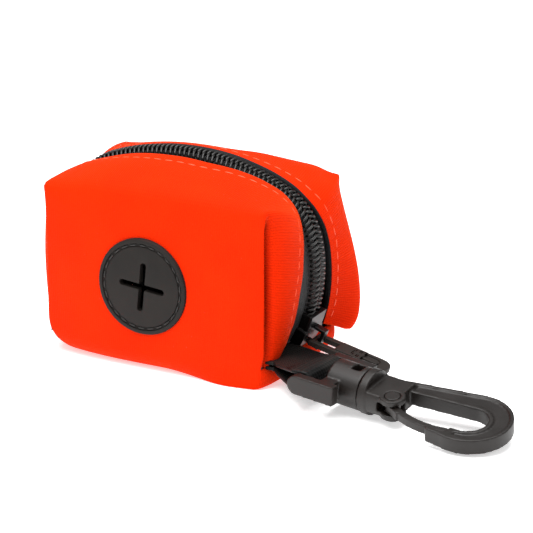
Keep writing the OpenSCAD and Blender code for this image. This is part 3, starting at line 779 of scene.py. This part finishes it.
def coil_row(name, side, node):
    bm = bmesh.new()
    count = int((COIL_TO - COIL_FROM) / TOOTH_PITCH)
    for number in range(count):
        s = COIL_FROM + (number + (0.5 if side > 0 else 0)) * TOOTH_PITCH
        before = set(bm.verts)
        bm.from_mesh(tooth_mesh)
        for v in set(bm.verts) - before:
            spot = on_zip(s + v.co.x, side * v.co.y, v.co.z)
            v.co = spot
    for face in bm.faces:
        face.smooth = True
    return finish_piece(name, bm, [nylon], "pouch", [node])


coil_row("coil_front", -1, "zip_coil_front")
coil_row("coil_back", 1, "zip_coil_back")

# %% [markdown]
# A line of stitches between the legs of the teeth holds each coil to its tape.

# %% Sewing line that holds each coil
bm = bmesh.new()
for side in (-1, 1):
    for number in range(int((ZIP_L - 14) / TOOTH_PITCH)):
        s = 9 + number * TOOTH_PITCH
        start, end = on_zip(s, side * 3.75, TAPE_RISE + 0.1), on_zip(s + 1.1, side * 3.75, TAPE_RISE + 0.1)
        spot, out, _ = zip_spot(s)
        lay_bead(bm, start, end, Vector((out[0], 0, out[1])), 0.42, 0.2)
finish_piece("coil_sewing", bm, [black_thread], "pouch")

# %% [markdown]
# The hook, its strap end and its gate are moulded in acetal, a tough satin plastic. A mould leaves no sharp
# edge, so a copy of each solid is merged, given an even net of small faces and smoothed a little. That rounds
# every edge by about the same small radius, as a polished mould does.

# %% Moulded plastic
acetal, tree, shader = new_finish("moulded_acetal", "#1B1613", 0.42)
shader.inputs["Specular IOR Level"].default_value = 0.38
place = add(tree, "ShaderNodeTexCoord")
sparks = add(tree, "ShaderNodeTexNoise", {"Vector": place.outputs["Object"], "Scale": 2600, "Detail": 2})
flow = add(tree, "ShaderNodeTexNoise", {"Vector": place.outputs["Object"], "Scale": 160, "Detail": 4})
bump = add(tree, "ShaderNodeBump", {"Height": sparks.outputs["Fac"], "Strength": 0.18, "Distance": 0.0001})
gloss = add(tree, "ShaderNodeMapRange", {0: flow.outputs["Fac"], 1: 0.3, 2: 0.7, 3: 0.36, 4: 0.5})
tone = add(tree, "ShaderNodeMix", {0: flow.outputs["Fac"], 6: linear("#120E0B"), 7: linear("#1B1512")},
           data_type="RGBA")
tree.links.new(tone.outputs[2], shader.inputs["Base Color"])
tree.links.new(gloss.outputs[0], shader.inputs["Roughness"])
tree.links.new(bump.outputs[0], shader.inputs["Normal"])


def moulded_copy(name, node, finish, body, voxel, turns):
    bm = bmesh.new()
    bm.from_mesh(nodes[node].data)
    bmesh.ops.remove_doubles(bm, verts=bm.verts, dist=1e-6)
    mesh = bpy.data.meshes.new(name)
    bm.to_mesh(mesh)
    bm.free()
    piece = bpy.data.objects.new(name, mesh)
    bpy.context.scene.collection.objects.link(piece)
    net = piece.modifiers.new("even_net", "REMESH")
    net.mode, net.voxel_size, net.use_smooth_shade = "VOXEL", voxel * MM, True
    ease_off = piece.modifiers.new("ease_edges", "SMOOTH")
    ease_off.factor, ease_off.iterations = 0.5, turns
    view = bpy.context.evaluated_depsgraph_get()
    piece.data = bpy.data.meshes.new_from_object(piece.evaluated_get(view))
    piece.modifiers.clear()
    piece.data.materials.clear()
    piece.data.materials.append(finish)
    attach(piece, body)
    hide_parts(node)
    print(name, len(piece.data.polygons), "faces")
    return piece


moulded_copy("strap_end_moulding", "strap_frame", acetal, "strap_frame", 0.26, 4)
moulded_copy("hook_moulding", "swivel_hook", acetal, "hook", 0.26, 4)
moulded_copy("gate_moulding", "hook_gate", acetal, "gate", 0.2, 3)

# %% [markdown]
# The slider is zinc, die cast and dipped in black enamel, which keeps a soft gloss. The pull tab is the same
# casting in a matt, slightly warm grey coat.

# %% Slider and pull tab
enamel, tree, shader = new_finish("black_enamel_on_zinc", "#060505", 0.36, Coat_Weight=0.05, Coat_Roughness=0.2)
shader.inputs["Specular IOR Level"].default_value = 0.3
place = add(tree, "ShaderNodeTexCoord")
orange_peel = add(tree, "ShaderNodeTexNoise", {"Vector": place.outputs["Object"], "Scale": 900, "Detail": 2})
bump = add(tree, "ShaderNodeBump", {"Height": orange_peel.outputs["Fac"], "Strength": 0.12, "Distance": 0.0001})
tree.links.new(bump.outputs[0], shader.inputs["Normal"])
matt, tree, shader = new_finish("matt_coat_on_zinc", "#2B2624", 0.55)
shader.inputs["Specular IOR Level"].default_value = 0.25
place = add(tree, "ShaderNodeTexCoord")
speck = add(tree, "ShaderNodeTexNoise", {"Vector": place.outputs["Object"], "Scale": 3200, "Detail": 2})
wear = add(tree, "ShaderNodeTexNoise", {"Vector": place.outputs["Object"], "Scale": 240, "Detail": 4})
bump = add(tree, "ShaderNodeBump", {"Height": speck.outputs["Fac"], "Strength": 0.3, "Distance": 0.0001})
tone = add(tree, "ShaderNodeMix", {0: wear.outputs["Fac"], 6: linear("#1D1916"), 7: linear("#2C2622")},
           data_type="RGBA")
tree.links.new(tone.outputs[2], shader.inputs["Base Color"])
tree.links.new(bump.outputs[0], shader.inputs["Normal"])
moulded_copy("slider_casting", "slider_body", enamel, "slider", 0.13, 2)
moulded_copy("bail_casting", "slider_bail", enamel, "slider", 0.12, 2)
moulded_copy("tab_casting", "pull_tab", matt, "pull_tab", 0.13, 2)
for node in ("zip_top_stops", "zip_bottom_stop"):
    nodes[node].data.materials.clear()
    nodes[node].data.materials.append(enamel)
for node in ("end_seam_thread_right", "end_seam_thread_left"):
    nodes[node].data.materials.clear()
    nodes[node].data.materials.append(black_thread)

# %% [markdown]
# The webbing is a coarse plain weave of polypropylene yarns about a millimetre wide. Such a yarn is thick
# enough to see, so the weave is in the form itself: a flat tube follows the loop from the seam round the bar
# and back, and its surface rises where a yarn crosses over.

# %% Webbing loop
pp_yarn, tree, shader = new_finish("polypropylene_webbing", "#0E0D0C", 0.5)
shader.inputs["Specular IOR Level"].default_value = 0.2
yarn_map = add(tree, "ShaderNodeUVMap", uv_map="cloth_mm")
# Painted shade: the colour sinks to near black where the surface lies low between the yarns and round the edges;
# the yarn tops keep the yarn's dark grey.
weave_shade_mask = add(tree, "ShaderNodeAttribute", attribute_name="rib_share")
strand = add(tree, "ShaderNodeTexNoise", {"Vector": yarn_map.outputs[0], "Scale": 5, "Detail": 3})
tone = add(tree, "ShaderNodeMix", {0: weave_shade_mask.outputs["Fac"], 6: linear("#010101"), 7: linear("#1A1816")},
           data_type="RGBA")
bump = add(tree, "ShaderNodeBump", {"Height": strand.outputs["Fac"], "Strength": 0.5, "Distance": 0.0001})
tree.links.new(tone.outputs[2], shader.inputs["Base Color"])
tree.links.new(bump.outputs[0], shader.inputs["Normal"])

HOOK_AT = np.array([71.8, -26.2, 7.2])
HOOK_YAW, HOOK_DIP = math.radians(-8), math.radians(3.8)
HOOK_WAY = np.array([math.cos(HOOK_YAW) * math.cos(HOOK_DIP), math.sin(HOOK_YAW) * math.cos(HOOK_DIP),
                     -math.sin(HOOK_DIP)])
ACROSS_BAR = np.array([-math.sin(HOOK_YAW), math.cos(HOOK_YAW), 0])
BAR_AT = HOOK_AT - 18.5 * HOOK_WAY
WEB_W, WEB_T = 16.0, 1.3
LOOP_R = 1.7 + 0.3 + WEB_T / 2
SEAM_X = ARCS[0][0][0] + END_R * math.cos(A_SEAM)
WEB_Z = SEAM_Z + 0.75
YARN = 1.12


def beside_seam(x, z, share):
    return np.array([SEAM_X + x, -14 + share * (BAR_AT[1] + 14), z])


loop_line = [beside_seam(-1, WEB_Z + 0.75, 0), beside_seam(2.5, WEB_Z + 0.85, 0),
             beside_seam(5, WEB_Z + 1.4, 0.22), BAR_AT + [-3.2, 0.2, LOOP_R - 0.1]]
loop_line += [BAR_AT + LOOP_R * np.array([math.cos(math.radians(a)), 0, math.sin(math.radians(a))])
              for a in range(90, -91, -15)]
loop_line += [BAR_AT + [-3.2, 0.2, 0.1 - LOOP_R], beside_seam(5, WEB_Z - 0.9, 0.22),
              beside_seam(2.5, WEB_Z - 0.85, 0), beside_seam(-1, WEB_Z - 0.75, 0)]
loop_line = np.array(loop_line)
loop_at = np.concatenate([[0], np.cumsum(np.linalg.norm(np.diff(loop_line, axis=0), axis=1))])
LOOP_L = loop_at[-1]


def loop_spot(d):
    return np.array([np.interp(d, loop_at, loop_line[:, i]) for i in range(3)])


def weave_rise(u, v):
    """Height of the weave and how near a spot is to the top of a yarn."""
    a, b = math.sin(math.pi * u / YARN), math.sin(math.pi * v / YARN)
    over = abs(b) ** 0.6 * (0.55 + 0.45 * abs(a)) if a * b > 0 else abs(a) ** 0.6 * (0.55 + 0.45 * abs(b))
    return over


LOOP_STEPS, WEB_STEPS, EDGE_STEPS = 230, 62, 4
SIDE_STEPS = WEB_STEPS + EDGE_STEPS


def webbing_shape(a, b):
    d = b * LOOP_L
    p = loop_spot(d)
    way = loop_spot(min(d + 0.8, LOOP_L)) - loop_spot(max(d - 0.8, 0))
    out = np.array([way[2], 0, -way[0]])
    out = -out / np.linalg.norm(out)
    near_bar = ease(min(d, LOOP_L - d) / 7 - 0.2)
    wide = np.array([0, 1, 0]) * (1 - near_bar) + ACROSS_BAR * near_bar
    k = round(a * 2 * SIDE_STEPS) % (2 * SIDE_STEPS)
    face, place_on = divmod(k, SIDE_STEPS)
    turn = 1 if face == 0 else -1
    if place_on <= WEB_STEPS:
        v = -WEB_W / 2 + WEB_W * place_on / WEB_STEPS
        rise = WEB_T / 2 - 0.22 + 0.26 * weave_rise(d + 0.2, v)
        v *= 0.985
    else:
        angle = (place_on - WEB_STEPS) / EDGE_STEPS * math.pi
        v = WEB_W / 2 * 0.985 + 0.35 * math.sin(angle)
        rise = (WEB_T / 2 - 0.2) * math.cos(angle)
    return p + wide * turn * v + out * turn * rise


bm = bmesh.new()
bent_grid(bm, 2 * SIDE_STEPS, LOOP_STEPS, webbing_shape, lambda a, b: (b * LOOP_L, a * 34))
share = bm.verts.layers.float["rib_share"]
bmesh.ops.remove_doubles(bm, verts=bm.verts, dist=0.003)
centre_line = [Vector(loop_spot(b / 400 * LOOP_L)) for b in range(401)]
finder = KDTree(len(centre_line))
for i, p in enumerate(centre_line):
    finder.insert(p, i)
finder.balance()
# Each point's height over the floor of the weave, which sets the painted shade between the yarns.
for v in bm.verts:
    p, i, _ = finder.find(v.co)
    way = centre_line[min(i + 1, 400)] - centre_line[max(i - 1, 0)]
    out = Vector((way.z, 0, -way.x)).normalized()
    v[share] = max(0.0, min(1.0, (abs((v.co - p).dot(out)) - (WEB_T / 2 - 0.22)) / 0.24))
bmesh.ops.holes_fill(bm, edges=[e for e in bm.edges if e.is_boundary])
webbing = finish_piece("webbing", bm, [pp_yarn], "pouch", ["webbing_loop"])

# %% [markdown]
# The pouch stands on a pale plain floor. Large soft lights above, in front and at the side give even light with a
# faint shadow, a small near one lightens the top of the front, and the camera looks down at it a little.

# %% Floor, lights and camera
paper, tree, shader = new_finish("matt_paper", "#FAFAFA", 0.9)
shader.inputs["Specular IOR Level"].default_value = 0.1
shader.inputs["Emission Color"].default_value = (1, 1, 1, 1)
shader.inputs["Emission Strength"].default_value = 0.5
bm = bmesh.new()
bmesh.ops.create_grid(bm, x_segments=1, y_segments=1, size=6)
floor_mesh = bpy.data.meshes.new("floor")
bm.to_mesh(floor_mesh)
bm.free()
floor_mesh.materials.append(paper)
floor = bpy.data.objects.new("floor", floor_mesh)
floor.location.z = min(0.0, cad_low.z) - 0.0001
bpy.context.scene.collection.objects.link(floor)


def softbox(name, place, aim, size, watts):
    lamp = bpy.data.lights.new(name, "AREA")
    lamp.shape, lamp.size, lamp.energy = "SQUARE", size, watts
    light = bpy.data.objects.new(name, lamp)
    light.location = place
    light.rotation_euler = (Vector(aim) - Vector(place)).to_track_quat("-Z", "Y").to_euler()
    bpy.context.scene.collection.objects.link(light)


softbox("top_light", (0.05, 0.0, 0.7), (0.0, 0, 0.04), 0.6, 5.5)
softbox("front_light", (-0.55, -0.75, 0.5), (0.02, 0, 0.03), 0.9, 1.2)
softbox("near_light", (0.0, -0.12, 0.2), (0.0, 0.0, 0.06), 0.12, 0.32)
softbox("side_light", (0.85, -0.1, 0.5), (0.03, 0, 0.03), 0.7, 2.0)
world = bpy.data.worlds.new("studio")
bpy.context.scene.world = world
world.use_nodes = True
world.node_tree.nodes["Background"].inputs["Color"].default_value = (1, 1, 1, 1)
world.node_tree.nodes["Background"].inputs["Strength"].default_value = 0.34
bpy.context.scene.view_settings.view_transform = "Standard"

lens = bpy.data.cameras.new("camera")
lens.lens = 148.6
lens.clip_start, lens.clip_end = 0.01, 50
camera = bpy.data.objects.new("camera", lens)
camera.location = (0.3096, -0.5466, 0.2345)
camera.rotation_euler = (math.radians(71.56), 0, math.radians(27.52))
bpy.context.scene.collection.objects.link(camera)
bpy.context.scene.camera = camera
